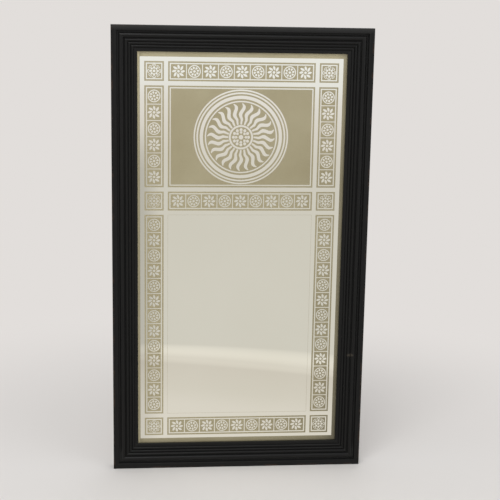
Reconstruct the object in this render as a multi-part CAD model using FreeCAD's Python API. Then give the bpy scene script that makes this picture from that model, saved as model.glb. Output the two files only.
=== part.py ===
import FreeCAD, Part
import math
import os

from FreeCAD import Vector

# Pub mirror: an etched mirror plate in a black reeded frame, with its backing and hangers.
# Millimetres. X runs to the right as seen from the front, Y into the wall and Z up.
# The origin is the middle of the backing board's rear face.

# Frame, as four mitred lengths of one moulding
frame_width = 710.0
frame_height = 1250.0
moulding_width = 70.0
moulding_depth = 34.0
rebate_width = 10.0
rebate_depth = 14.0

# Face of the moulding, from its outer edge to the sight edge
outer_fillet_width = 15.0
edge_round = 1.5
outer_quirk_share = 0.70        # floor of the groove behind the outer fillet, of the depth
reed_span_shares = ((0.286, 0.489), (0.509, 0.631), (0.643, 0.737), (0.749, 0.860))
reed_foot_shares = (0.735, 0.724, 0.671, 0.606)
reed_rise_shares = (0.42, 0.42, 0.46, 0.42)      # height of each reed, of its own width
sight_quirk_share = 0.575
sight_fillet_share = 0.618
sight_fillet_start_share = 0.880

# V-nails across the mitres
nail_leg = 8.0
nail_gauge = 0.8
nail_depth = 10.0
nail_place_shares = (0.17, 0.36, 0.62)           # along the mitre, of the moulding's width

# Glass and what holds it in the rebate
glass_thickness = 4.0
glass_clearance = 3.0
glass_arris = 0.5
felt_thickness = 0.5
felt_margin = 0.6
setting_block_length = 60.0
setting_block_height = 1.5
setting_block_place_share = 0.31                 # from the middle, of the glass width
packer_length = 40.0
packer_place_share = 0.31                        # from the middle, of the glass height
block_length = 45.0
block_width = 9.0
block_flat = 3.2
block_toe = 2.0
block_back_gap = 0.6
block_count_across = 3
block_count_up = 5
block_spread_share = 0.80                        # of the length that a row of blocks shares

# Backing board and its pins
board_thickness = 3.2
board_overlap = 20.0
pin_inset = 9.0
pin_corner_inset = 45.0
pin_count_across = 6
pin_count_up = 10
pin_length = 20.0
pin_radius = 0.7
pin_point = 2.0
pin_head_radius = 1.7
pin_head_thickness = 0.8

# Hanger straps, their rings and screws
hanger_drop = 300.0
strap_width = 18.0
strap_thickness = 1.5
strap_length = 58.0
eye_clearance = 0.08
eye_lift = 0.25
ring_wire_radius = 1.6
ring_side_gap = 1.2
ring_leg = 6.0
screw_places = (32.0, 49.0)                      # below the eye
screw_hole_radius = 2.3
screw_radius = 2.0
screw_length = 20.0
screw_point = 4.0
screw_head_radius = 3.9
screw_head_height = 2.2
screw_head_round = 0.9
screw_slot_width = 1.0
screw_slot_depth = 1.1

# Wall pads
pad_radius = 9.0
pad_thickness = 7.0
pad_edge = 1.2
pad_inset = 45.0

cut_overrun = 5.0

half_width = frame_width / 2
half_height = frame_height / 2
frame_back = -board_thickness
rebate_inset = moulding_width - rebate_width
lip_back = rebate_depth
glass_front = lip_back - felt_thickness
glass_back = glass_front - glass_thickness
glass_half_width = half_width - rebate_inset - glass_clearance
glass_bottom = -half_height + rebate_inset + setting_block_height
glass_top = glass_bottom + frame_height - 2 * rebate_inset - 2 * glass_clearance
board_half_width = half_width - rebate_inset + board_overlap
board_half_height = half_height - rebate_inset + board_overlap
back_margin = rebate_inset - board_overlap       # frame's bare back outside the board
hanger_across = half_width - back_margin / 2
eye_bore = ring_wire_radius + eye_clearance
eye_radius = eye_bore + strap_thickness
eye_back = frame_back + eye_radius + eye_lift
eye_up = half_height - hanger_drop

os.makedirs("parts", exist_ok=True)


def block(x_span, y_span, z_span):
    low = Vector(min(x_span), min(y_span), min(z_span))
    size = [max(span) - min(span) for span in (x_span, y_span, z_span)]
    return Part.makeBox(size[0], size[1], size[2], low)


def behind(height):
    # Y of a plane that lies this far in front of the frame's back
    return frame_back - height


def spread(count, span):
    # evenly spaced places, centred on zero, with the first and last at the span's ends
    return [span * (i / (count - 1) - 1 / 2) for i in range(count)]


def save(name, solids):
    shape = solids[0] if len(solids) == 1 else Part.makeCompound(solids)
    shape.exportStep("parts/" + name + ".step")
    print(name, len(solids), "solids", round(sum(s.Volume for s in solids)), "mm3")


class Outline:
    # An outline of lines and arcs across the moulding: inward from its outer edge, and up from its back
    def __init__(self, inward, height):
        self.here = self.place(inward, height)
        self.start = self.here
        self.edges = []

    def place(self, inward, height):
        return Vector(0, behind(height), -inward)

    def line(self, inward, height):
        there = self.place(inward, height)
        self.edges.append(Part.LineSegment(self.here, there).toShape())
        self.here = there

    def arc(self, middle, end):
        there = self.place(*end)
        self.edges.append(Part.Arc(self.here, self.place(*middle), there).toShape())
        self.here = there

    def face(self):
        self.edges.append(Part.LineSegment(self.here, self.start).toShape())
        return Part.Face(Part.Wire(self.edges))


def moulding_face():
    top = moulding_depth
    corner = edge_round * (1 - math.sqrt(1 / 2))
    section = Outline(0, 0)
    section.line(0, top - edge_round)
    section.arc((corner, top - corner), (edge_round, top))
    section.line(outer_fillet_width - edge_round, top)
    section.arc((outer_fillet_width - corner, top - corner), (outer_fillet_width, top - edge_round))
    section.line(outer_fillet_width, outer_quirk_share * top)
    floor = outer_quirk_share * top
    for span, foot_share, rise_share in zip(reed_span_shares, reed_foot_shares, reed_rise_shares):
        start, end = [share * moulding_width for share in span]
        foot = foot_share * top
        section.line(start, floor)
        section.line(start, foot)
        section.arc(((start + end) / 2, foot + rise_share * (end - start)), (end, foot))
        floor = foot
    fillet_start = sight_fillet_start_share * moulding_width
    fillet = sight_fillet_share * top
    section.line(end, sight_quirk_share * top)
    section.line(fillet_start, sight_quirk_share * top)
    section.line(fillet_start, fillet)
    section.line(moulding_width - edge_round, fillet)
    section.arc((moulding_width - corner, fillet - corner), (moulding_width, fillet - edge_round))
    section.line(moulding_width, lip_back)
    section.line(rebate_inset, lip_back)
    section.line(rebate_inset, 0)
    return section.face()


def mitred_rail(length, turn, reach):
    # one side of the frame, made along X as the top one and turned into its place about Y
    rail = moulding_face().extrude(Vector(length, 0, 0))
    rail.translate(Vector(-length / 2, 0, 0))
    front = behind(moulding_depth + cut_overrun)
    corners = [
        Vector(-length / 2, front, 0),
        Vector(length / 2, front, 0),
        Vector(length / 2 - moulding_width, front, -moulding_width),
        Vector(-length / 2 + moulding_width, front, -moulding_width),
    ]
    trapezoid = Part.Face(Part.makePolygon(corners + corners[:1]))
    rail = rail.common(trapezoid.extrude(Vector(0, moulding_depth + 2 * cut_overrun, 0)))
    rail.translate(Vector(0, 0, reach))
    rail.rotate(Vector(0, 0, 0), Vector(0, 1, 0), turn)
    return rail.Solids[0]


def corner_nails():
    nails = []
    depth_span = (behind(0), behind(nail_depth))
    for side in (-1, 1):
        for end in (-1, 1):
            for share in nail_place_shares:
                x = side * (half_width - share * moulding_width)
                z = end * (half_height - share * moulding_width)
                half = nail_gauge / 2
                along_rail = block((x + side * half, x - side * nail_leg), depth_span, (z - half, z + half))
                along_stile = block((x - half, x + half), depth_span, (z + end * half, z - end * nail_leg))
                nails.append(along_rail.fuse(along_stile).removeSplitter().Solids[0])
    return nails


def rebate_felts():
    outer_x = half_width - rebate_inset - felt_margin
    outer_z = half_height - rebate_inset - felt_margin
    inner_x = half_width - moulding_width + felt_margin
    inner_z = half_height - moulding_width + felt_margin
    layer = (behind(lip_back), behind(glass_front))
    return {
        "top_rebate_felt": block((-outer_x, outer_x), layer, (inner_z, outer_z)),
        "bottom_rebate_felt": block((-outer_x, outer_x), layer, (-outer_z, -inner_z)),
        "left_rebate_felt": block((-outer_x, -inner_x), layer, (-inner_z, inner_z)),
        "right_rebate_felt": block((inner_x, outer_x), layer, (-inner_z, inner_z)),
    }


def mirror_glass():
    across = (-glass_half_width, glass_half_width)
    plate = block(across, (behind(glass_front), behind(glass_back)), (glass_bottom, glass_top))
    return plate.makeChamfer(glass_arris, plate.Edges).Solids[0]


def setting_blocks():
    place = setting_block_place_share * 2 * glass_half_width
    layer = (behind(glass_front), behind(glass_back))
    upright = (glass_bottom - setting_block_height, glass_bottom)
    half = setting_block_length / 2
    return [block((x - half, x + half), layer, upright) for x in (-place, place)]


def side_packers():
    place = packer_place_share * (glass_top - glass_bottom)
    middle = (glass_top + glass_bottom) / 2
    layer = (behind(glass_front), behind(glass_back))
    half = packer_length / 2
    packers = []
    for side in (-1, 1):
        across = (side * glass_half_width, side * (glass_half_width + glass_clearance))
        for z in (middle - place, middle + place):
            packers.append(block(across, layer, (z - half, z + half)))
    return packers


def glass_block_row(count, run, turn, reach):
    # blocks along one side of the rebate, made as the top row and turned into place about Y
    wall = -rebate_inset
    toe = wall - block_width
    outline = [
        (glass_back, wall),
        (block_back_gap, wall),
        (block_back_gap, wall - block_flat),
        (glass_back - block_toe, toe),
        (glass_back, toe),
    ]
    points = [Vector(-block_length / 2, behind(height), z) for height, z in outline]
    face = Part.Face(Part.makePolygon(points + points[:1]))
    row = []
    for x in spread(count, block_spread_share * run):
        piece = face.extrude(Vector(block_length, 0, 0))
        piece.translate(Vector(x, 0, reach))
        piece.rotate(Vector(0, 0, 0), Vector(0, 1, 0), turn)
        row.append(piece)
    return row


def glass_blocks():
    run_across = frame_width - 2 * moulding_width
    run_up = frame_height - 2 * moulding_width
    blocks = glass_block_row(block_count_across, run_across, 0, half_height)
    blocks += glass_block_row(block_count_across, run_across, 180, half_height)
    blocks += glass_block_row(block_count_up, run_up, 90, half_width)
    blocks += glass_block_row(block_count_up, run_up, -90, half_width)
    return blocks


def board_pin(x, z):
    # flat head level with the board's rear face, then the shank, then the point
    head = Part.makeCylinder(pin_head_radius, pin_head_thickness, Vector(x, 0, z), Vector(0, -1, 0))
    shank_length = pin_length - pin_point
    shank = Part.makeCylinder(pin_radius, shank_length, Vector(x, 0, z), Vector(0, -1, 0))
    point_start = Vector(x, -shank_length, z)
    point = Part.makeCone(pin_radius, pin_radius / 4, pin_point, point_start, Vector(0, -1, 0))
    return head.fuse([shank, point]).removeSplitter().Solids[0]


def board_pins():
    edge_x = board_half_width - pin_inset
    edge_z = board_half_height - pin_inset
    run_x = 2 * (board_half_width - pin_corner_inset)
    run_z = 2 * (board_half_height - pin_corner_inset)
    pins = []
    for x in spread(pin_count_across, run_x):
        pins += [board_pin(x, -edge_z), board_pin(x, edge_z)]
    for z in spread(pin_count_up, run_z):
        pins += [board_pin(-edge_x, z), board_pin(edge_x, z)]
    return pins


def backing_board():
    across = (-board_half_width, board_half_width)
    return block(across, (frame_back, 0), (-board_half_height, board_half_height))


def hanger_strap(x):
    # flat plate with a round lower end, and the eye that is rolled round the ring's bar
    end_radius = strap_width / 2
    foot = eye_up - strap_length + end_radius
    layer = (frame_back, frame_back + strap_thickness)
    plate = block((x - end_radius, x + end_radius), layer, (foot, eye_up))
    foot_end = Vector(x, frame_back, foot)
    plate = plate.fuse(Part.makeCylinder(end_radius, strap_thickness, foot_end, Vector(0, 1, 0)))
    eye_start = Vector(x - end_radius, eye_back, eye_up)
    eye = Part.makeCylinder(eye_radius, strap_width, eye_start, Vector(1, 0, 0))
    strap = plate.fuse(eye)
    strap = strap.cut(Part.makeCylinder(eye_bore, strap_width, eye_start, Vector(1, 0, 0)))
    for drop in screw_places:
        start = Vector(x, frame_back, eye_up - drop)
        hole = Part.makeCylinder(screw_hole_radius, strap_thickness, start, Vector(0, 1, 0))
        strap = strap.cut(hole)
    return strap.removeSplitter().Solids[0]


def hanger_ring(x):
    # round wire bent to a D: the bar in the eye, two bends, two legs and the crown below
    bend = ring_side_gap + ring_wire_radius
    bar = strap_width / 2
    leg = bar + bend
    bend_up = eye_up - bend
    crown_up = bend_up - ring_leg
    turn = bend * math.sqrt(1 / 2)

    def at(across, up):
        return Vector(x + across, eye_back, up)

    path = [
        Part.LineSegment(at(-bar, eye_up), at(bar, eye_up)),
        Part.Arc(at(bar, eye_up), at(bar + turn, bend_up + turn), at(leg, bend_up)),
        Part.LineSegment(at(leg, bend_up), at(leg, crown_up)),
        Part.Arc(at(leg, crown_up), at(0, crown_up - leg), at(-leg, crown_up)),
        Part.LineSegment(at(-leg, crown_up), at(-leg, bend_up)),
        Part.Arc(at(-leg, bend_up), at(-bar - turn, bend_up + turn), at(-bar, eye_up)),
    ]
    wire = Part.Wire([edge.toShape() for edge in path])
    section = Part.Wire(Part.makeCircle(ring_wire_radius, at(-bar, eye_up), Vector(1, 0, 0)))
    ring = wire.makePipeShell([section], True, False)
    expected = math.pi * ring_wire_radius ** 2 * wire.Length
    print("ring volume", round(ring.Volume, 1), "of", round(expected, 1))
    return ring.Solids[0]


def hanger_screw(x, z):
    seat = frame_back + strap_thickness
    out = Vector(0, 1, 0)
    head = Part.makeCylinder(screw_head_radius, screw_head_height, Vector(x, seat, z), out)
    rim = [e for e in head.Edges if e.CenterOfMass.y > seat + screw_head_height / 2 and len(e.Vertexes) == 1]
    head = head.makeFillet(screw_head_round, rim[:1])
    shank_length = screw_length - screw_point
    shank = Part.makeCylinder(screw_radius, shank_length, Vector(x, seat, z), Vector(0, -1, 0))
    point_start = Vector(x, seat - shank_length, z)
    point = Part.makeCone(screw_radius, screw_radius / 4, screw_point, point_start, Vector(0, -1, 0))
    screw = head.fuse([shank, point])
    slot_floor = seat + screw_head_height - screw_slot_depth
    slot = block(
        (x - screw_head_radius, x + screw_head_radius),
        (slot_floor, slot_floor + cut_overrun),
        (z - screw_slot_width / 2, z + screw_slot_width / 2),
    )
    return screw.cut(slot).removeSplitter().Solids[0]


def hanger_screws():
    return [hanger_screw(x, eye_up - drop) for x in (-hanger_across, hanger_across) for drop in screw_places]


def wall_pads():
    up = -half_height + back_margin / 2
    pads = []
    for x in (-half_width + pad_inset, half_width - pad_inset):
        pad = Part.makeCylinder(pad_radius, pad_thickness, Vector(x, frame_back, up), Vector(0, 1, 0))
        rear = frame_back + pad_thickness
        rim = [e for e in pad.Edges if len(e.Vertexes) == 1 and abs(e.CenterOfMass.y - rear) < pad_edge]
        pads.append(pad.makeChamfer(pad_edge, rim[:1]).Solids[0])
    return pads


nails = corner_nails()
pins = board_pins()
screws = hanger_screws()
sides = {
    "top_rail": mitred_rail(frame_width, 0, half_height),
    "right_stile": mitred_rail(frame_height, 90, half_width),
    "bottom_rail": mitred_rail(frame_width, 180, half_height),
    "left_stile": mitred_rail(frame_height, -90, half_width),
}
driven = nails + pins + screws
for name, side in sides.items():
    reached = [piece for piece in driven if side.BoundBox.intersect(piece.BoundBox)]
    save(name, [side.cut(reached).Solids[0]])

save("corner_v_nails", nails)
for name, felt in rebate_felts().items():
    save(name, [felt])
save("mirror_glass", [mirror_glass()])
save("setting_blocks", setting_blocks())
save("side_packers", side_packers())
save("glass_blocks", glass_blocks())
save("backing_board", [backing_board().cut(pins).Solids[0]])
save("board_pins", pins)
save("left_hanger_strap", [hanger_strap(-hanger_across)])
save("right_hanger_strap", [hanger_strap(hanger_across)])
save("left_hanger_ring", [hanger_ring(-hanger_across)])
save("right_hanger_ring", [hanger_ring(hanger_across)])
save("hanger_screws", screws)
save("wall_pads", wall_pads())
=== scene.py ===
import bpy
import math
from mathutils import Matrix, Quaternion, Vector


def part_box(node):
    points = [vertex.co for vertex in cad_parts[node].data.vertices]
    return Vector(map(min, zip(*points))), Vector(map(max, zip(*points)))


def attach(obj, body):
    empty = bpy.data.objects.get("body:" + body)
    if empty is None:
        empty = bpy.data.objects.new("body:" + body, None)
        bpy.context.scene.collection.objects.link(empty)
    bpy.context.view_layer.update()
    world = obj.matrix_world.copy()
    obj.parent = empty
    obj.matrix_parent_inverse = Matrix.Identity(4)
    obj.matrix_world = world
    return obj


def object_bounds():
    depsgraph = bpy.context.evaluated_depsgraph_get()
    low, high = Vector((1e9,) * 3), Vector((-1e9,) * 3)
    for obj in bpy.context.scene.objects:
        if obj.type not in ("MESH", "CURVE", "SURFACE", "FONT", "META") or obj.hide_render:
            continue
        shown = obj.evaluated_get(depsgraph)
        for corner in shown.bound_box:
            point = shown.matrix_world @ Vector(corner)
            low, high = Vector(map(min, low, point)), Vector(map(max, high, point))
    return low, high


# Pub mirror: the etched design on the plate, the finishes of every piece, floor, light and camera
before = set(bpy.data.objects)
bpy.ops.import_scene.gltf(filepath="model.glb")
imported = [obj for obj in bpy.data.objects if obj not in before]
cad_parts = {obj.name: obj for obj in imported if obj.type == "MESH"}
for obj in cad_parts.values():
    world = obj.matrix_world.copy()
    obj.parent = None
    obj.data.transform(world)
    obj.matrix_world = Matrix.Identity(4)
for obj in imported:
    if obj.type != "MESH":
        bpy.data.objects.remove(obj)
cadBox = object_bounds()
print("frame loaded:", len(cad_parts), "nodes")

halfWidth = cadBox[1].x                             # of the whole frame
halfHeight = cadBox[1].z
plateLow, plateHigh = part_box("mirror_glass")
plateHalf = (plateHigh - plateLow) / 2
plateFace = plateLow.y                              # front of the mirror plate
facingFront = (math.pi / 2, 0, 0)                   # turns a flat primitive to face the room
mergeWithin = 0.00001                               # vertices nearer than this become one

# Mesh helpers


def addPrimitive(name, add, place, turn=(0, 0, 0), stretch=(1, 1, 1), **settings):
    # a primitive at its size and place, with both written into its mesh
    bpy.ops.object.select_all(action="DESELECT")
    add(location=place, rotation=turn, **settings)
    piece = bpy.context.object
    piece.name = name
    piece.scale = stretch
    bpy.ops.object.transform_apply(location=True, rotation=True, scale=True)
    return piece


def choose(piece, kind, test):
    # edit mode, with the vertices, edges or faces selected whose middle passes the test
    closeEdit()
    bpy.ops.object.select_all(action="DESELECT")
    piece.select_set(True)
    bpy.context.view_layer.objects.active = piece
    bpy.ops.object.mode_set(mode="EDIT")
    bpy.ops.mesh.select_mode(type=kind)
    bpy.ops.mesh.select_all(action="DESELECT")
    bpy.ops.object.mode_set(mode="OBJECT")
    mesh = piece.data
    if kind == "VERT":
        for vertex in mesh.vertices:
            vertex.select = test(vertex.co)
    if kind == "EDGE":
        for edge in mesh.edges:
            start, end = [mesh.vertices[corner].co for corner in edge.vertices]
            edge.select = test((start + end) / 2)
    if kind == "FACE":
        for face in mesh.polygons:
            face.select = test(face.center)
    bpy.ops.object.mode_set(mode="EDIT")


def everything(_):
    return True


def closeEdit():
    bpy.ops.object.mode_set(mode="OBJECT")


def thicken(piece, back, front):
    # a flat piece facing the room becomes a closed plate between two depths
    choose(piece, "FACE", everything)
    bpy.ops.mesh.remove_doubles(threshold=mergeWithin)
    bpy.ops.transform.translate(value=(0, back - piece.data.vertices[0].co.y, 0))
    bpy.ops.mesh.extrude_region_move(TRANSFORM_OT_translate={"value": (0, front - back, 0)})
    bpy.ops.mesh.select_all(action="SELECT")
    bpy.ops.mesh.normals_make_consistent(inside=False)
    closeEdit()


def copyOf(piece, move):
    # a copy with its own mesh, moved by a matrix
    twin = piece.copy()
    twin.data = piece.data.copy()
    twin.data.transform(move)
    bpy.context.collection.objects.link(twin)
    return twin


def join(name, pieces):
    bpy.ops.object.select_all(action="DESELECT")
    for piece in pieces:
        piece.select_set(True)
    bpy.context.view_layer.objects.active = pieces[0]
    if len(pieces) > 1:
        bpy.ops.object.join()
    pieces[0].name = name
    return pieces[0]


def remove(pieces):
    for piece in pieces:
        bpy.data.objects.remove(piece)


def turnAbout(angle, x, z):
    # the matrix of a turn about a point of the plate
    centre = Vector((x, 0, z))
    return Matrix.Translation(centre) @ Matrix.Rotation(-angle, 4, "Y") @ Matrix.Translation(-centre)


def turned(piece, angle, x, z):
    piece.data.transform(turnAbout(angle, x, z))
    return piece


def around(piece, count, x, z):
    # the piece and its copies, evenly spaced round a point of the plate
    return [piece] + [copyOf(piece, turnAbout(step * math.tau / count, x, z)) for step in range(1, count)]


# Material helpers


def newMaterial(name):
    material = bpy.data.materials.new(name)
    material.use_nodes = True
    return material, material.node_tree, material.node_tree.nodes["Principled BSDF"]


def fill(tree, node, sockets):
    # a value or a link for each socket
    for name, value in sockets.items():
        if isinstance(value, bpy.types.NodeSocket):
            tree.links.new(value, node.inputs[name])
        else:
            node.inputs[name].default_value = value


def addNode(tree, kind, sockets, **settings):
    node = tree.nodes.new(kind)
    for name, value in settings.items():
        setattr(node, name, value)
    fill(tree, node, sockets)
    return node


def objectSpace(tree, scale=(1, 1, 1), turn=(0, 0, 0)):
    place = addNode(tree, "ShaderNodeTexCoord", {}).outputs["Object"]
    return addNode(tree, "ShaderNodeMapping", {"Vector": place, "Scale": scale, "Rotation": turn}).outputs[0]


def axes(tree):
    place = addNode(tree, "ShaderNodeTexCoord", {}).outputs["Object"]
    return addNode(tree, "ShaderNodeSeparateXYZ", {"Vector": place}).outputs


def noise(tree, space, scale, detail=4.0, roughness=0.5, distortion=0.0):
    sockets = {"Vector": space, "Scale": scale, "Detail": detail, "Roughness": roughness,
               "Distortion": distortion}
    return addNode(tree, "ShaderNodeTexNoise", sockets).outputs["Fac"]


def ramp(tree, value, stops):
    # each stop has its place and a colour, or one number for a grey
    node = addNode(tree, "ShaderNodeValToRGB", {"Fac": value})
    elements = node.color_ramp.elements
    while len(elements) < len(stops):
        elements.new(0.5)
    for element, (place, colour) in zip(elements, stops):
        element.position = place
        element.color = (*colour, 1) if isinstance(colour, tuple) else (colour, colour, colour, 1)
    return node.outputs["Color"]


def spread(tree, value, low, high, start=0.0, end=1.0):
    # goes from low to high while the value goes from start to end
    sockets = {"Value": value, "From Min": start, "From Max": end, "To Min": low, "To Max": high}
    return addNode(tree, "ShaderNodeMapRange", sockets).outputs["Result"]


def maths(tree, operation, first, second=0.0):
    return addNode(tree, "ShaderNodeMath", {0: first, 1: second}, operation=operation).outputs[0]


def vectorMaths(tree, operation, first, second=(0, 0, 0)):
    node = addNode(tree, "ShaderNodeVectorMath", {0: first, 1: second}, operation=operation)
    return node.outputs["Value" if operation == "LENGTH" else "Vector"]


def mixColour(tree, amount, first, second, blend="MIX"):
    first, second = [value if isinstance(value, bpy.types.NodeSocket) else (*value, 1)
                     for value in (first, second)]
    sockets = {0: amount, 6: first, 7: second}      # the mix node takes colours at 6 and 7
    return addNode(tree, "ShaderNodeMix", sockets, data_type="RGBA", blend_type=blend).outputs[2]


def addBump(tree, shader, height, strength, distance):
    sockets = {"Height": height, "Strength": strength, "Distance": distance}
    fill(tree, shader, {"Normal": addNode(tree, "ShaderNodeBump", sockets).outputs["Normal"]})


def paint(piece, material):
    piece.data.materials.clear()
    piece.data.materials.append(material)


def dress(nodes, material):
    # carried-over nodes keep their shape and get this finish
    for name in nodes:
        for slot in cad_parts[name].material_slots:
            slot.material = material


# Finishes. Their dictionaries hold noise scales, ramp stops, the roughness at a noise's two ends, and the
# strength and depth of the bump.

# How bright the plate's finishes are: across it, up it, and towards its lower right corner. Across it, on
# the margin and towards the corner this is painted light and shade.
shades = {
    "even": ((0.0, 1.0), (1.0, 1.0)),
    "darkerBelowSun": ((0.0, 0.94), (0.655, 0.94), (0.67, 1.0), (1.0, 1.0)),
    "paleBelowSun": ((0.0, 1.05), (0.655, 1.05), (0.67, 1.0), (1.0, 1.0)),
    # painted shade, darker towards the lower right corner
    "corner": ((0.15, 1.0), (0.27, 0.95), (0.5, 0.87), (0.69, 0.83), (0.82, 0.66), (0.92, 0.6)),
    "groundAcross": ((0.0, 1.02), (0.45, 1.0), (1.0, 0.95)),
    "marginAcross": ((0.012, 1.5), (0.018, 1.3), (0.0205, 1.0), (0.0233, 0.82), (0.04, 1.0), (0.93, 1.0),
                     (0.965, 0.82), (1.0, 0.66)),   # painted light towards the lip at the left, painted shade from the black lip at the right
    "marginUp": ((0.0, 0.88), (0.2, 0.95), (0.35, 0.88), (0.75, 0.88), (0.88, 1.0), (0.985, 1.07)),
}
silver = {
    "plate": ((0.3, (0.875, 0.86, 0.785)), (0.7, (0.9, 0.885, 0.815))),
    "motifs": ((0.3, (0.92, 0.905, 0.835)), (0.7, (0.94, 0.93, 0.865))),
    "clouds": 3.0,
    "specks": 240.0,
    "roughness": (0.008, 0.018),
}


def silvered(name, tints, shadeUp):
    material, tree, shader = newMaterial(name)
    up = axes(tree)[2]
    cloud = noise(tree, objectSpace(tree), silver["clouds"], detail=3.0)
    speck = noise(tree, objectSpace(tree), silver["specks"], detail=2.0)
    shade = ramp(tree, spread(tree, up, 0, 1, -plateHalf.z, plateHalf.z), shadeUp)
    fill(tree, shader, {
        "Base Color": mixColour(tree, 1.0, ramp(tree, cloud, tints), shade, "MULTIPLY"),
        "Metallic": 1.0,
        "Roughness": spread(tree, speck, *silver["roughness"]),
    })
    return material


khaki = {
    "tints": ((0.3, (0.357, 0.312, 0.190)), (0.7, (0.417, 0.372, 0.24))),
    "clouds": 7.0,
    "grain": 900.0,
    "grainGreys": ((0.3, 0.3), (0.7, 0.8)),
    "grainShare": 0.12,
    "metallic": 0.55,
    "coat": 0.4,                                    # the glass over it
    "coatRoughness": 0.03,
    "roughness": (0.38, 0.52),
    "bump": (0.15, 0.0002),
}


def etchedSilver(name, shadeAcross, shadeUp):
    # khaki satin silver
    material, tree, shader = newMaterial(name)
    across, _, up = axes(tree)
    cloud = noise(tree, objectSpace(tree), khaki["clouds"], detail=5.0)
    grain = noise(tree, objectSpace(tree), khaki["grain"], detail=2.0)
    shareAcross = spread(tree, across, 0, 1, -plateHalf.x, plateHalf.x)
    shareUp = spread(tree, up, 0, 1, -plateHalf.z, plateHalf.z)
    towardsCorner = maths(tree, "MULTIPLY", spread(tree, across, 0, 1, 0, plateHalf.x),
                          maths(tree, "SUBTRACT", 1.0, shareUp))
    shaded = mixColour(tree, khaki["grainShare"], ramp(tree, cloud, khaki["tints"]),
                       ramp(tree, grain, khaki["grainGreys"]), "OVERLAY")
    # multiplied by the shades, which paint light and shade on the plate, except for the lighter khaki below
    # the sun panel
    for share, stops in ((shareAcross, shadeAcross), (shareUp, shadeUp), (towardsCorner, shades["corner"])):
        shaded = mixColour(tree, 1.0, shaded, ramp(tree, share, stops), "MULTIPLY")
    fill(tree, shader, {
        "Base Color": shaded,
        "Metallic": khaki["metallic"],
        "Coat Weight": khaki["coat"],
        "Coat Roughness": khaki["coatRoughness"],
        "Roughness": spread(tree, grain, *khaki["roughness"]),
    })
    addBump(tree, shader, grain, *khaki["bump"])
    return material


wood = {
    "alongRail": (1.5, 60, 60),                     # how the grain is drawn out
    "alongStile": (60, 60, 1.5),
    "grain": 6.0,
    "clouds": 9.0,
    "patches": 34.0,
    "black": ((0.3, (0.0038, 0.0038, 0.0038)), (0.75, (0.0088, 0.0086, 0.0083))),
    "bare": ((0.3, (0.03, 0.02, 0.013)), (0.7, (0.085, 0.056, 0.034))),
    "worn": (0.05, 0.029, 0.018),
    "mitre": (0.03, 0.028, 0.024),
    # grey of the dust, which is also painted highlight on the top edge and painted fill light in the groove
    "dust": (0.034, 0.034, 0.033),
    "chip": (0.05, 0.043, 0.033),
    "roughness": (0.3, 0.46),
    "gloss": 0.18,
    "bump": (0.25, 0.0004),
}
marks = {
    "edgeWear": 0.0060,                             # how far in from the outer arrises the wear shows
    "wornPatches": ((0.5, 0.0), (0.62, 1.0)),
    "mitreLine": 0.0007,
    "mitreShare": 0.55,
    "chipMiddle": (0.3190, -0.0330, -0.2950),       # a small chip low on the right stile
    "chipHalf": (0.0110, 0.0200, 0.0050),
    "chipGrain": 420.0,
    "chipRagged": (-0.9, 0.9),
    "chipFade": (0.7, 0.95),
    "chipShare": 0.85,
    "thinBack": (-0.0060, -0.0040),                 # depth over which the black thins out at the back
    "thinShare": 0.8,
    "dustAndHighlightBand": (0.0150, 0.0030),                   # below the top edge, from none to most dust and painted highlight
    "dustAndHighlightShare": 0.75,
    "dustClouds": (0.4, 1.4),
    "groove": (-0.0270, -0.0230, -0.0170, -0.0140),     # where dust and painted fill light lie, in from the outer edge
    "grooveDustAndFillLight": (0.62, 0.18),                     # on the bottom rail, and above it
    "grooveHeights": (0.045, 0.065),                # above the floor, where the one becomes the other
}


def wearMask(tree, farAcross, depth, farUp):
    # strong along the outer arrises of the frame
    wear = marks["edgeWear"]
    nearSide = spread(tree, farAcross, 0, 1, halfWidth - wear, halfWidth)
    nearEnd = spread(tree, farUp, 0, 1, halfHeight - wear, halfHeight)
    nearFront = spread(tree, depth, 1, 0, cadBox[0].y, cadBox[0].y + wear)
    outerCorner = maths(tree, "MULTIPLY", nearSide, nearEnd)
    frontArris = maths(tree, "MULTIPLY", nearFront, maths(tree, "MAXIMUM", nearSide, nearEnd))
    return maths(tree, "MAXIMUM", outerCorner, frontArris)


def mitreMask(tree, farAcross, farUp):
    offMitre = maths(tree, "ADD", maths(tree, "SUBTRACT", farAcross, farUp), halfHeight - halfWidth)
    return spread(tree, maths(tree, "ABSOLUTE", offMitre), marks["mitreShare"], 0, 0, marks["mitreLine"])


def chipMask(tree, space):
    # an oval with a ragged edge
    chipSpace = vectorMaths(tree, "SUBTRACT", space, marks["chipMiddle"])
    fromChip = vectorMaths(tree, "LENGTH", vectorMaths(tree, "DIVIDE", chipSpace, marks["chipHalf"]))
    ragged = spread(tree, noise(tree, space, marks["chipGrain"], detail=3.0), *marks["chipRagged"])
    return spread(tree, maths(tree, "ADD", fromChip, ragged), marks["chipShare"], 0, *marks["chipFade"])


def dustAndPaintedLightMask(tree, farAcross, farUp, up, cloud):
    # dust and a painted highlight on the top edge, and dust with painted fill light in the groove all round
    low, high = [halfHeight - drop for drop in marks["dustAndHighlightBand"]]
    onTop = maths(tree, "MULTIPLY", spread(tree, up, 0, marks["dustAndHighlightShare"], low, high),
                  spread(tree, cloud, *marks["dustClouds"]))
    fromEdge = maths(tree, "MAXIMUM", maths(tree, "SUBTRACT", farAcross, halfWidth),
                     maths(tree, "SUBTRACT", farUp, halfHeight))
    low, inside, outside, high = marks["groove"]
    inGroove = maths(tree, "MULTIPLY", spread(tree, fromEdge, 0, 1, low, inside),
                     spread(tree, fromEdge, 1, 0, outside, high))
    heights = [height - halfHeight for height in marks["grooveHeights"]]
    share = spread(tree, up, *marks["grooveDustAndFillLight"], *heights)
    return maths(tree, "MAXIMUM", onTop, maths(tree, "MULTIPLY", inGroove, share))


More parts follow.
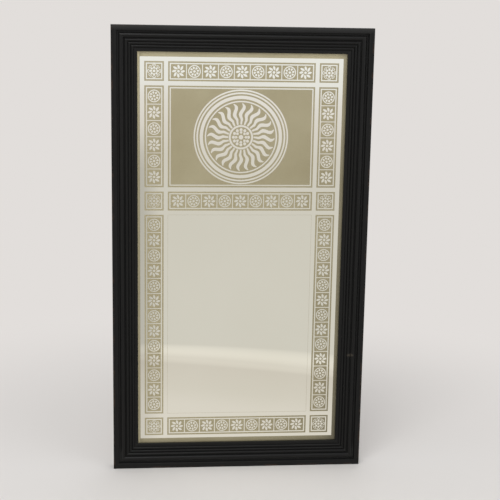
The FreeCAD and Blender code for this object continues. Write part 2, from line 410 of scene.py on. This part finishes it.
def blackWood(name, stretch):
    # ebonised satin finish, with the grain along the length of the moulding, light wear, and dust that also
    # paints a highlight on the top edge and fill light in the groove
    material, tree, shader = newMaterial(name)
    space = objectSpace(tree)
    across, depth, up = axes(tree)
    farAcross = maths(tree, "ABSOLUTE", across)
    farUp = maths(tree, "ABSOLUTE", up)
    grain = noise(tree, objectSpace(tree, stretch), wood["grain"], detail=6.0, roughness=0.65)
    cloud = noise(tree, space, wood["clouds"])
    patches = noise(tree, space, wood["patches"], detail=6.0, roughness=0.65)
    worn = maths(tree, "MULTIPLY", wearMask(tree, farAcross, depth, farUp),
                 ramp(tree, patches, marks["wornPatches"]))
    colour = mixColour(tree, worn, ramp(tree, grain, wood["black"]), wood["worn"])
    colour = mixColour(tree, mitreMask(tree, farAcross, farUp), colour, wood["mitre"])
    thin = spread(tree, depth, 0, marks["thinShare"], *marks["thinBack"])
    colour = mixColour(tree, thin, colour, ramp(tree, grain, wood["bare"]))
    colour = mixColour(tree, dustAndPaintedLightMask(tree, farAcross, farUp, up, cloud), colour, wood["dust"])
    fill(tree, shader, {
        "Base Color": mixColour(tree, chipMask(tree, space), colour, wood["chip"]),
        "Roughness": spread(tree, cloud, *wood["roughness"]),
        "Specular IOR Level": wood["gloss"],
    })
    addBump(tree, shader, grain, *wood["bump"])
    return material


felt = {
    "fibres": 1400.0,
    "black": ((0.3, (0.006, 0.006, 0.006)), (0.7, (0.022, 0.022, 0.023))),
    "roughness": 0.95,
    "sheen": 0.35,
    "gloss": 0.1,
    "bump": (0.6, 0.0005),
}


def blackFelt():
    material, tree, shader = newMaterial("blackFelt")
    fibre = noise(tree, objectSpace(tree), felt["fibres"], detail=5.0, roughness=0.7, distortion=1.5)
    fill(tree, shader, {
        "Base Color": ramp(tree, fibre, felt["black"]),
        "Roughness": felt["roughness"],
        "Sheen Weight": felt["sheen"],
        "Specular IOR Level": felt["gloss"],
    })
    addBump(tree, shader, fibre, *felt["bump"])
    return material


pine = {
    "alongLines": (12, 160, 160),
    "lines": 1.6,
    "acrossSaw": (500, 60, 60),
    "tints": ((0.32, (0.5, 0.34, 0.18)), (0.55, (0.66, 0.5, 0.31)), (0.75, (0.72, 0.57, 0.38))),
    "sawGreys": ((0.3, 0.35), (0.7, 0.7)),
    "sawShare": 0.1,
    "roughness": (0.6, 0.78),
    "bump": (0.3, 0.0003),
}


def sawnPine():
    # pale softwood, with darker growth lines along each block
    material, tree, shader = newMaterial("sawnPine")
    space = objectSpace(tree, pine["alongLines"])
    lines = noise(tree, space, pine["lines"], detail=5.0, roughness=0.6, distortion=0.4)
    saw = noise(tree, objectSpace(tree, pine["acrossSaw"]), 1.0, detail=3.0)
    fill(tree, shader, {
        "Base Color": mixColour(tree, pine["sawShare"], ramp(tree, lines, pine["tints"]),
                                ramp(tree, saw, pine["sawGreys"]), "OVERLAY"),
        "Roughness": spread(tree, lines, *pine["roughness"]),
    })
    addBump(tree, shader, saw, *pine["bump"])
    return material


board = {
    "fibres": 260.0,
    "strands": 95.0,
    "acrossStrands": (1, 1, 3.5),
    "strandTurn": (0, 0.6, 0),
    "stains": 2.6,
    "tints": ((0.3, (0.135, 0.078, 0.042)), (0.52, (0.2, 0.122, 0.07)), (0.72, (0.29, 0.19, 0.115))),
    "strandGreys": ((0.38, 0.28), (0.62, 0.72)),
    "strandShare": 0.35,
    "stainGreys": ((0.35, 0.34), (0.7, 0.6)),
    "stainShare": 0.5,
    "roughness": (0.62, 0.85),
    "gloss": 0.3,
    "bump": (0.5, 0.0005),
}


def hardboard():
    # pressed fibres in every direction, with water stains and lighter rubs
    material, tree, shader = newMaterial("hardboard")
    fibre = noise(tree, objectSpace(tree), board["fibres"], detail=8.0, roughness=0.75, distortion=2.2)
    space = objectSpace(tree, board["acrossStrands"], board["strandTurn"])
    strand = noise(tree, space, board["strands"], detail=6.0, roughness=0.7, distortion=3.0)
    stain = noise(tree, objectSpace(tree), board["stains"], detail=5.0, roughness=0.55, distortion=0.6)
    colour = ramp(tree, fibre, board["tints"])
    for share, value, stops in ((board["strandShare"], strand, board["strandGreys"]),
                                (board["stainShare"], stain, board["stainGreys"])):
        colour = mixColour(tree, share, colour, ramp(tree, value, stops), "OVERLAY")
    fill(tree, shader, {
        "Base Color": colour,
        "Roughness": spread(tree, fibre, *board["roughness"]),
        "Specular IOR Level": board["gloss"],
    })
    addBump(tree, shader, fibre, *board["bump"])
    return material


nail = {
    "rubs": 700.0,
    "rust": 90.0,
    "steel": ((0.3, (0.32, 0.315, 0.31)), (0.7, (0.5, 0.495, 0.485))),
    "rustEdge": ((0.58, 0.0), (0.72, 1.0)),
    "rustBrown": (0.16, 0.085, 0.045),
    "metallic": (0.95, 0.4),                        # where bright, and where rusty
    "roughness": (0.28, 0.5),
}


def nailSteel():
    material, tree, shader = newMaterial("nailSteel")
    rub = noise(tree, objectSpace(tree), nail["rubs"])
    spots = noise(tree, objectSpace(tree), nail["rust"], detail=5.0, roughness=0.6)
    rust = ramp(tree, spots, nail["rustEdge"])
    fill(tree, shader, {
        "Base Color": mixColour(tree, rust, ramp(tree, rub, nail["steel"]), nail["rustBrown"]),
        "Metallic": spread(tree, rust, *nail["metallic"]),
        "Roughness": spread(tree, rub, *nail["roughness"]),
    })
    return material


zinc = {
    "clouds": 60.0,
    "alongDrawing": (900, 900, 60),
    "greys": ((0.32, (0.42, 0.415, 0.4)), (0.55, (0.58, 0.575, 0.555)), (0.75, (0.68, 0.675, 0.65))),
    "roughness": (0.46, 0.26),
    "bump": (0.15, 0.0001),
}


def zincPlate():
    # bright plate with soft clouding, handled to a duller grey in places
    material, tree, shader = newMaterial("zincPlate")
    cloud = noise(tree, objectSpace(tree), zinc["clouds"], detail=5.0, roughness=0.6)
    drawn = noise(tree, objectSpace(tree, zinc["alongDrawing"]), 1.0, detail=3.0)
    fill(tree, shader, {
        "Base Color": ramp(tree, cloud, zinc["greys"]),
        "Metallic": 1.0,
        "Roughness": spread(tree, cloud, *zinc["roughness"], start=0.3, end=0.7),
    })
    addBump(tree, shader, drawn, *zinc["bump"])
    return material


rubber = {
    "grain": 600.0,
    "dust": 70.0,
    "tints": ((0.4, (0.014, 0.014, 0.014)), (0.75, (0.045, 0.043, 0.04))),
    "roughness": (0.6, 0.85),
    "bump": (0.3, 0.0002),
}


def padRubber():
    material, tree, shader = newMaterial("padRubber")
    grain = noise(tree, objectSpace(tree), rubber["grain"])
    dust = noise(tree, objectSpace(tree), rubber["dust"])
    fill(tree, shader, {
        "Base Color": ramp(tree, dust, rubber["tints"]),
        "Roughness": spread(tree, dust, *rubber["roughness"]),
    })
    addBump(tree, shader, grain, *rubber["bump"])
    return material


motifFinish = silvered("brightSilver", silver["motifs"], shades["darkerBelowSun"])
etchFinish = etchedSilver("etchedSilver", shades["groundAcross"], shades["paleBelowSun"])
marginFinish = etchedSilver("etchedMargin", shades["marginAcross"], shades["marginUp"])
dress(("top_rail", "bottom_rail"), blackWood("railBlack", wood["alongRail"]))
dress(("left_stile", "right_stile"), blackWood("stileBlack", wood["alongStile"]))
dress(("mirror_glass",), silvered("silveredPlate", silver["plate"], shades["even"]))
dress([side + "_rebate_felt" for side in ("top", "bottom", "left", "right")], blackFelt())
dress(("setting_blocks", "side_packers", "glass_blocks"), sawnPine())
dress(("backing_board",), hardboard())
dress(("corner_v_nails", "board_pins"), nailSteel())
dress(("left_hanger_strap", "right_hanger_strap", "left_hanger_ring", "right_hanger_ring", "hanger_screws"),
      zincPlate())
dress(("wall_pads",), padRubber())
print("finishes done")

# Etched design. It is laid out from its own middle, which is a little left of the frame's.

etch = {
    "middleX": -0.0018,
    "halfWidth": 0.2766,                            # to the outer edge of the clear band
    "halfHeight": 0.5417,
    "band": 0.0121,                                 # clear mirror between the strips
    "innerBand": 0.0113,
    "line": 0.0042,                                 # khaki line round each strip
    "hairline": 0.0032,                             # mirror line inside it
    "divider": 0.0024,                              # mirror line between two tiles
    "stripWidth": 0.0528,
    "sunHeight": 0.2774,
    "lowerHeight": 0.5777,
    "tilesAcross": 9,
    "tilesUpper": 6,
    "tilesLower": 13,
    "groundRise": 0.00010,                          # khaki above the plate
    "motifRise": 0.00020,
    "root": 0.00005,                                # how far each layer is let into what carries it
}


def finish(piece, material):
    paint(piece, material)
    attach(piece, "frame")
    return piece


def etchedGround(name, pieces):
    ground = join(name, pieces)
    thicken(ground, plateFace + etch["root"], plateFace - etch["groundRise"])
    return finish(ground, etchFinish)


def raised(name, pieces):
    # thick enough to stand above the khaki
    motif = join(name, pieces)
    ground = plateFace - etch["groundRise"]
    thicken(motif, ground + etch["root"], plateFace - etch["motifRise"])
    return motif


def motifLayer(name, pieces):
    return finish(join(name, pieces), motifFinish)


def flatRectangle(name, x, z, width, height):
    place, stretch = (x, plateFace, z), (width, height, 1)
    return addPrimitive(name, bpy.ops.mesh.primitive_plane_add, place, facingFront, stretch, size=1)


def ruledLine(x, z, width, height, line):
    # a rectangle with its middle cut out, so that a line is left
    ruled = flatRectangle("line", x, z, width, height)
    choose(ruled, "FACE", everything)
    bpy.ops.mesh.inset(thickness=line)
    bpy.ops.mesh.delete(type="FACE")
    closeEdit()
    return ruled


def tileGrounds(x, z, width, height, count):
    # one rectangle cut into tiles along its longer side, each drawn in by half a divider
    grounds = flatRectangle("grounds", x, z, width + etch["divider"], height + etch["divider"])
    wide = width > height

    def onLongSide(middle):
        return abs(middle.z - z) > height / 4 if wide else abs(middle.x - x) > width / 4

    if count > 1:
        choose(grounds, "EDGE", onLongSide)
        bpy.ops.mesh.subdivide(number_cuts=count - 1)
        closeEdit()
    choose(grounds, "FACE", everything)
    bpy.ops.mesh.inset(thickness=etch["divider"] / 2, use_individual=True)
    bpy.ops.mesh.select_all(action="INVERT")
    bpy.ops.mesh.delete(type="FACE")
    closeEdit()
    return grounds


def tileCentres(x, z, width, height, count):
    pitch = (max(width, height) + etch["divider"]) / count
    steps = [(i - (count - 1) / 2) * pitch for i in range(count)]
    return [(x + step, z) if width > height else (x, z - step) for step in steps]


def strip(x, z, width, height, count):
    # the khaki line, the mirror line and the tiles of one strip; gives the pieces and the tile centres
    border = etch["line"] + etch["hairline"]
    inner = (width - 2 * border, height - 2 * border)
    pieces = [ruledLine(x, z, width, height, etch["line"]), tileGrounds(x, z, *inner, count)]
    return pieces, tileCentres(x, z, *inner, count)


# Petals, discs and rings of the motifs

petal = {
    "sides": 16,
    "tipFrom": 0.97,                                # share of the half length past which the tip is pulled
    "tipPull": 0.14,
    "squeezeFrom": (0.1, -0.3, -0.65),              # shares of it inside which each squeeze works
    "teardrop": (0.86, 0.78, 0.7),
    "oval": (0.97, 0.93, 0.88),
}
discSides = 14


def disc(x, z, radius, sides=discSides):
    place = (x, plateFace, z)
    return addPrimitive("disc", bpy.ops.mesh.primitive_circle_add, place, facingFront,
                        vertices=sides, radius=radius, fill_type="NGON")


def ring(x, z, inner, outer, sides):
    # an open circle drawn in on itself by an extrusion
    circle = addPrimitive("ring", bpy.ops.mesh.primitive_circle_add, (x, plateFace, z), facingFront,
                          vertices=sides, radius=outer, fill_type="NOTHING")
    choose(circle, "EDGE", everything)
    bpy.ops.mesh.extrude_edges_move()
    share = inner / outer
    bpy.ops.transform.resize(value=(share, 1, share), center_override=(x, plateFace, z))
    closeEdit()
    return circle


def teardrop(x, z, start, end, width, form="teardrop"):
    # a petal that points along +X: round outside, narrower towards the middle of the flower
    middle = x + (start + end) / 2
    half = (end - start) / 2
    drop = addPrimitive("petal", bpy.ops.mesh.primitive_circle_add, (middle, plateFace, z), facingFront,
                        (half, width / 2, 1), vertices=petal["sides"], radius=1, fill_type="NGON")
    for share, squeeze in zip(petal["squeezeFrom"], petal[form]):
        choose(drop, "VERT", lambda co: co.x < middle + share * half)
        bpy.ops.transform.resize(value=(1, 1, squeeze), center_override=(middle, plateFace, z))
    choose(drop, "VERT", lambda co: co.x > middle + petal["tipFrom"] * half)
    bpy.ops.transform.translate(value=(petal["tipPull"] * half, 0, 0))
    closeEdit()
    return drop


daisy = {
    "petals": 8,
    "start": 0.0060,
    "end": 0.0178,
    "diagonalEnd": 0.0190,
    "width": 0.0064,
    "boss": 0.0036,
    "swirl": math.radians(38),                      # of each petal about its own root
    "turn": math.radians(-22),
}


def makeDaisy():
    # every second petal points to a corner of the tile and is longer
    pieces = [disc(0, 0, daisy["boss"])]
    for end, turn in ((daisy["end"], 0), (daisy["diagonalEnd"], math.tau / daisy["petals"])):
        leaf = teardrop(0, 0, daisy["start"], end, daisy["width"], "oval")
        turned(leaf, daisy["swirl"], daisy["start"], 0)
        turned(leaf, daisy["turn"] + turn, 0, 0)
        pieces += around(leaf, daisy["petals"] // 2, 0, 0)
    return raised("daisy", pieces)


rosette = {
    "petals": 8,
    "start": 0.0054,
    "end": 0.0126,
    "width": 0.0062,
    "turn": math.radians(12),
    "boss": 0.0034,
    "ring": (0.0144, 0.0170),
    "ringSides": 40,
}


def makeRosette():
    leaf = teardrop(0, 0, rosette["start"], rosette["end"], rosette["width"])
    turned(leaf, rosette["turn"], 0, 0)
    rim = ring(0, 0, *rosette["ring"], rosette["ringSides"])
    return raised("rosette", around(leaf, rosette["petals"], 0, 0) + [rim, disc(0, 0, rosette["boss"])])


cornerFlower = {
    "petals": 8,
    "start": 0.0120,
    "end": 0.0184,
    "width": 0.0106,
    "outline": 0.0016,
    "dotRing": 0.0088,
    "dot": 0.0030,
    "dotSides": 10,
    "boss": 0.0036,
}


def makeCornerFlower():
    # petals in outline, with a ring of dots inside them
    leaf = teardrop(0, 0, cornerFlower["start"], cornerFlower["end"], cornerFlower["width"], "oval")
    choose(leaf, "FACE", everything)
    bpy.ops.mesh.inset(thickness=cornerFlower["outline"])
    bpy.ops.mesh.delete(type="FACE")
    closeEdit()
    dot = disc(cornerFlower["dotRing"], 0, cornerFlower["dot"], cornerFlower["dotSides"])
    pieces = around(leaf, cornerFlower["petals"], 0, 0) + around(dot, cornerFlower["petals"], 0, 0)
    return raised("cornerFlower", pieces + [disc(0, 0, cornerFlower["boss"])])


daisyMotif = makeDaisy()
rosetteMotif = makeRosette()
flowerMotif = makeCornerFlower()
print("tile motifs done")

# Rows, columns and corners


def at(motif, centre):
    return copyOf(motif, Matrix.Translation((centre[0], 0, centre[1])))


def makeStrip(name, x, z, width, height, count, first, second):
    pieces, centres = strip(x, z, width, height, count)
    etchedGround(name + "_ground", pieces)
    motifs = [at(first if i % 2 == 0 else second, centre) for i, centre in enumerate(centres)]
    motifLayer(name + "_motifs", motifs)


levels = []                                         # middle heights, from the top down
top = etch["halfHeight"] - etch["band"]
for part in ("stripWidth", "sunHeight", "stripWidth", "lowerHeight", "stripWidth"):
    levels.append(top - etch[part] / 2)
    top -= etch[part] + etch["band"]
topZ, sunZ, middleZ, lowerZ, bottomZ = levels
middleX = etch["middleX"]
columnX = etch["halfWidth"] - etch["band"] - etch["stripWidth"] / 2
rowWidth = 2 * (columnX - etch["stripWidth"] / 2 - etch["innerBand"])

for name, z in (("top_row", topZ), ("middle_row", middleZ), ("bottom_row", bottomZ)):
    makeStrip(name, middleX, z, rowWidth, etch["stripWidth"], etch["tilesAcross"], daisyMotif, rosetteMotif)
for side, x in (("left", middleX - columnX), ("right", middleX + columnX)):
    makeStrip("upper_" + side + "_column", x, sunZ, etch["stripWidth"], etch["sunHeight"],
              etch["tilesUpper"], rosetteMotif, daisyMotif)
    makeStrip("lower_" + side + "_column", x, lowerZ, etch["stripWidth"], etch["lowerHeight"],
              etch["tilesLower"], rosetteMotif, daisyMotif)

cornerGrounds = []
cornerCentres = []
for x in (middleX - columnX, middleX + columnX):
    for z in (topZ, middleZ, bottomZ):
        pieces, centres = strip(x, z, etch["stripWidth"], etch["stripWidth"], 1)
        cornerGrounds += pieces
        cornerCentres += centres
etchedGround("corner_grounds", cornerGrounds)
motifLayer("corner_flowers", [at(flowerMotif, centre) for centre in cornerCentres])
remove((daisyMotif, rosetteMotif, flowerMotif))
print("tile strips done")

# Khaki margin between the clear band and the frame, and the faint line round the plain mirror

margin = {"clearOfPlateEdge": 0.001, "firstInset": 0.010}
plainPanel = {"line": 0.0004}


def makeMargin():
    plateMiddle = (plateLow.z + plateHigh.z) / 2
    width, height = [side - 2 * margin["clearOfPlateEdge"] for side in (2 * plateHalf.x, 2 * plateHalf.z)]
    piece = flatRectangle("margin", 0, plateMiddle, width, height)
    choose(piece, "FACE", everything)
    bpy.ops.mesh.inset(thickness=margin["firstInset"])
    across = 2 * etch["halfWidth"] / (width - 2 * margin["firstInset"])
    up = 2 * etch["halfHeight"] / (height - 2 * margin["firstInset"])
    bpy.ops.transform.resize(value=(across, 1, up), center_override=(0, plateFace, plateMiddle))
    bpy.ops.transform.translate(value=(middleX, 0, -plateMiddle))
    bpy.ops.mesh.delete(type="FACE")
    closeEdit()
    paint(etchedGround("etched_margin", [piece]), marginFinish)


makeMargin()
panelLine = ruledLine(middleX, lowerZ, rowWidth, etch["lowerHeight"], plainPanel["line"])
etchedGround("plain_panel_line", [panelLine])
print("margin done")

# Sun panel

sun = {
    "middleX": -0.0027,
    "middleZ": 0.3262,
    "rings": ((0.1259, 0.1299), (0.1176, 0.1222), (0.1042, 0.1133), (0.0956, 0.0993)),
    "ringSides": 144,
    "rayCount": 24,
    "rayRoot": 0.001,                               # length of the bit that a ray is drawn out from
    "raySmoothing": 2,
    "hubRing": (0.0282, 0.0334),
    "hubRingSides": 64,
    "hubDots": 12,
    "hubDotPlace": 0.0207,
    "hubDot": 0.0042,
    "hubPetals": 8,
    "hubPetal": (0.0092, 0.0168, 0.0086),
    "boss": 0.0063,
    "bossSides": 24,
}
# A ray along +X: distance from the middle of the sun, sway to the side, and width
rayStations = (
    (0.0352, -0.0001, 0.0046),
    (0.0383, -0.0003, 0.0050),
    (0.0415, -0.0006, 0.0054),
    (0.0444, -0.0010, 0.0058),
    (0.0484, -0.0020, 0.0070),
    (0.0529, -0.0004, 0.0078),
    (0.0572, 0.0015, 0.0084),
    (0.0615, 0.0023, 0.0096),
    (0.0658, 0.0011, 0.0106),
    (0.0701, -0.0013, 0.0110),
    (0.0744, -0.0044, 0.0108),
    (0.0787, -0.0069, 0.0096),
    (0.0830, -0.0080, 0.0082),
    (0.0868, -0.0071, 0.0068),
    (0.0900, -0.0052, 0.0050),
    (0.0930, -0.0026, 0.0026),
)


def makeRay(x, z):
    # the outer edge of a short root is drawn out from station to station
    (start, sway, width), *others = rayStations
    root = sun["rayRoot"]
    place = (x + start, plateFace, z + sway)
    ray = addPrimitive("ray", bpy.ops.mesh.primitive_plane_add, place, facingFront, (root, width, 1), size=1)
    choose(ray, "EDGE", lambda co: co.x > x + start + root / 4)
    lastX, lastZ, lastWidth = x + start + root / 2, z + sway, width
    for distance, side, wide in others:
        move = (x + distance - lastX, 0, z + side - lastZ)
        bpy.ops.mesh.extrude_region_move(TRANSFORM_OT_translate={"value": move})
        lastX, lastZ = x + distance, z + side
        bpy.ops.transform.resize(value=(1, 1, wide / lastWidth), center_override=(lastX, plateFace, lastZ))
        lastWidth = wide
    closeEdit()
    smooth = ray.modifiers.new("smooth", "SUBSURF")
    smooth.levels = sun["raySmoothing"]
    smooth.render_levels = sun["raySmoothing"]
    bpy.ops.object.modifier_apply(modifier="smooth")
    return ray


def makeSun():
    x, z = sun["middleX"], sun["middleZ"]
    rings = [ring(x, z, *span, sun["ringSides"]) for span in sun["rings"]]
    motifLayer("sun_rings", [raised("rings", rings)])
    motifLayer("sun_rays", [raised("rays", around(makeRay(x, z), sun["rayCount"], x, z))])
    hub = [ring(x, z, *sun["hubRing"], sun["hubRingSides"]), disc(x, z, sun["boss"], sun["bossSides"])]
    hub += around(disc(x + sun["hubDotPlace"], z, sun["hubDot"]), sun["hubDots"], x, z)
    hub += around(teardrop(x, z, *sun["hubPetal"]), sun["hubPetals"], x, z)
    motifLayer("sun_hub", [raised("hub", hub)])


panelPieces, _ = strip(middleX, sunZ, rowWidth, etch["sunHeight"], 1)
etchedGround("sun_panel_ground", panelPieces)
makeSun()
print("sun panel done")

# Floor, world, lamps and camera

studio = {
    "floorHalf": 40.0,
    "floorClouds": 0.8,
    "floorTints": ((0.35, (0.723975, 0.70132, 0.68162)), (0.65, (0.735, 0.712, 0.692))),
    "floorRoughness": 0.9,
    "floorGloss": 0.1,
    "farColour": (0.76, 0.73, 0.708),               # of the far floor and of all that lies behind it
    "fadeFrom": 0.45,                               # distances over which the floor turns into it
    "fadeTo": 1.7,
    "ambient": 0.70,
}


def floorFinish():
    material, tree, shader = newMaterial("paleFloor")
    cloud = noise(tree, objectSpace(tree), studio["floorClouds"], detail=3.0)
    fill(tree, shader, {
        "Base Color": ramp(tree, cloud, studio["floorTints"]),
        "Roughness": studio["floorRoughness"],
        "Specular IOR Level": studio["floorGloss"],
    })
    distance = vectorMaths(tree, "LENGTH", objectSpace(tree, (1, 1, 0)))
    fade = addNode(tree, "ShaderNodeMapRange", {
        "Value": distance, "From Min": studio["fadeFrom"], "From Max": studio["fadeTo"]},
        interpolation_type="SMOOTHSTEP").outputs["Result"]
    path = addNode(tree, "ShaderNodeLightPath", {}).outputs
    seen = maths(tree, "MAXIMUM", path["Is Camera Ray"],
                 maths(tree, "MAXIMUM", path["Is Glossy Ray"], path["Is Transmission Ray"]))
    far = addNode(tree, "ShaderNodeEmission", {"Color": (*studio["farColour"], 1), "Strength": 1.0})
    share = maths(tree, "MULTIPLY", fade, seen)
    both = addNode(tree, "ShaderNodeMixShader", {0: share, 1: shader.outputs[0], 2: far.outputs[0]})
    fill(tree, tree.nodes["Material Output"], {"Surface": both.outputs[0]})
    return material


def makeFloor():
    place = (0, 0, cadBox[0].z)
    floor = addPrimitive("floor", bpy.ops.mesh.primitive_plane_add, place, size=2 * studio["floorHalf"])
    paint(floor, floorFinish())
    floor.visible_glossy = False                    # the plate mirrors the world, not the floor's edge


# The room that the plate mirrors, by the direction looked in. A span gives the directions at a ramp's ends.
room = {
    "heightSpan": (-0.5, 0.5),
    # floor, skirting, wall and the bright upper part
    "heights": (
        (0.000, (0.68, 0.66, 0.62)),
        (0.1335, (0.775, 0.75, 0.70)),
        (0.1685, (0.76, 0.73, 0.68)),
        (0.1815, (0.713, 0.684, 0.628)),
        (0.1995, (0.688, 0.654, 0.60)),
        (0.2163, (0.695, 0.68, 0.633)),
        (0.345, (0.69, 0.672, 0.625)),
        (0.375, (0.705, 0.68, 0.635)),
        (0.400, (0.765, 0.735, 0.705)),
        (0.425, (0.82, 0.80, 0.785)),
        (0.437, (0.87, 0.875, 0.875)),
        (0.457, (0.905, 0.915, 0.92)),
        (0.700, (0.95, 0.95, 0.96)),
    ),
    # a darker post, which stands in the lower part only
    "postSpan": (-0.2, 0.2),
    "post": ((0.2, 1.0), (0.47, 0.75), (0.505, 0.77), (0.54, 1.0)),
    "postTop": (-0.14, -0.10),
    "postFoot": (-0.31, -0.29),
    "postFootShare": 0.6,
    # how bright the skirting is, from just below it to just above it
    "skirtingSpan": (-0.3, -0.28),
    "skirting": (
        (0.01, 0.0),
        (0.10, 0.36),
        (0.185, 0.52),
        (0.27, 0.48),
        (0.32, 0.66),
        (0.40, 0.90),
        (0.46, 1.0),
        (0.54, 0.97),
        (0.63, 0.76),
        (0.70, 0.46),
        (0.765, 0.0),
    ),
    "skirtingGain": 1.22,
    "skirtingTilt": (0.068, 0.030),                 # slope of its lower and upper line
    "skirtingLines": (-0.304, -0.287),              # and how far down they are seen
}


def mirroredRoom(tree):
    direction = addNode(tree, "ShaderNodeTexCoord", {}).outputs["Generated"]
    across, _, up = addNode(tree, "ShaderNodeSeparateXYZ", {"Vector": direction}).outputs
    tilt = spread(tree, up, *room["skirtingTilt"], *room["skirtingLines"])
    level = maths(tree, "ADD", up, maths(tree, "MULTIPLY", across, tilt))
    skirting = ramp(tree, spread(tree, level, 0, 1, *room["skirtingSpan"]), room["skirting"])
    gain = spread(tree, skirting, 1.0, room["skirtingGain"])
    glow = addNode(tree, "ShaderNodeCombineColor", {0: gain, 1: gain, 2: gain}).outputs[0]
    walls = ramp(tree, spread(tree, level, 0, 1, *room["heightSpan"]), room["heights"])
    heights = mixColour(tree, 1.0, walls, glow, "MULTIPLY")
    sides = ramp(tree, spread(tree, across, 0, 1, *room["postSpan"]), room["post"])
    low = maths(tree, "MULTIPLY", spread(tree, level, 1, 0, *room["postTop"]),
                spread(tree, level, room["postFootShare"], 1, *room["postFoot"]))
    return mixColour(tree, low, heights, mixColour(tree, 1.0, heights, sides, "MULTIPLY"))


def makeWorld():
    # even light on every piece, the room for the plate, and the far colour for the camera
    world = bpy.data.worlds.new("studioWorld")
    bpy.context.scene.world = world
    world.use_nodes = True
    tree = world.node_tree
    tree.nodes.clear()
    path = addNode(tree, "ShaderNodeLightPath", {}).outputs
    ambient = addNode(tree, "ShaderNodeBackground", {"Color": (1, 1, 1, 1), "Strength": studio["ambient"]})
    mirrored = addNode(tree, "ShaderNodeBackground", {"Color": mirroredRoom(tree), "Strength": 1.0})
    seen = addNode(tree, "ShaderNodeBackground", {"Color": (*studio["farColour"], 1), "Strength": 1.0})
    glossy = addNode(tree, "ShaderNodeMixShader", {
        0: path["Is Glossy Ray"], 1: ambient.outputs[0], 2: mirrored.outputs[0]})
    both = addNode(tree, "ShaderNodeMixShader", {
        0: path["Is Camera Ray"], 1: glossy.outputs[0], 2: seen.outputs[0]})
    addNode(tree, "ShaderNodeOutputWorld", {"Surface": both.outputs[0]})


lamps = {
    "key": {"place": (-1.1, -2.6, 2.9), "size": 1.8, "power": 58.0},
    "fill": {"place": (2.2, -2.4, 1.6), "size": 2.0, "power": 12.0},
    "back": {"place": (0.6, 2.6, 2.4), "size": 1.8, "power": 9.0},
}


def makeLamps():
    for name, lamp in lamps.items():
        light = bpy.data.lights.new(name + "Lamp", "AREA")
        light.size = lamp["size"]
        light.energy = lamp["power"]
        holder = bpy.data.objects.new(name + "Lamp", light)
        bpy.context.collection.objects.link(holder)
        holder.location = lamp["place"]
        holder.rotation_euler = (-Vector(lamp["place"])).to_track_quat("-Z", "Y").to_euler()


view = {
    "place": (-0.2748, -3.1644, 0.6773),
    "aim": (0.0276, -0.0167, 0.0105),
    "roll": math.radians(1.007),
    "lens": 83.16,
    "sensor": 36.0,
}


def makeCamera():
    data = bpy.data.cameras.new("photoCamera")
    data.lens = view["lens"]
    data.sensor_width = view["sensor"]
    camera = bpy.data.objects.new("photoCamera", data)
    bpy.context.collection.objects.link(camera)
    camera.location = view["place"]
    look = Vector(view["aim"]) - Vector(view["place"])
    camera.rotation_mode = "QUATERNION"
    camera.rotation_quaternion = look.to_track_quat("-Z", "Y") @ Quaternion((0, 0, 1), view["roll"])
    bpy.context.scene.camera = camera


makeFloor()
makeWorld()
makeLamps()
makeCamera()
bpy.context.scene.view_settings.view_transform = "Standard"
print("studio done")
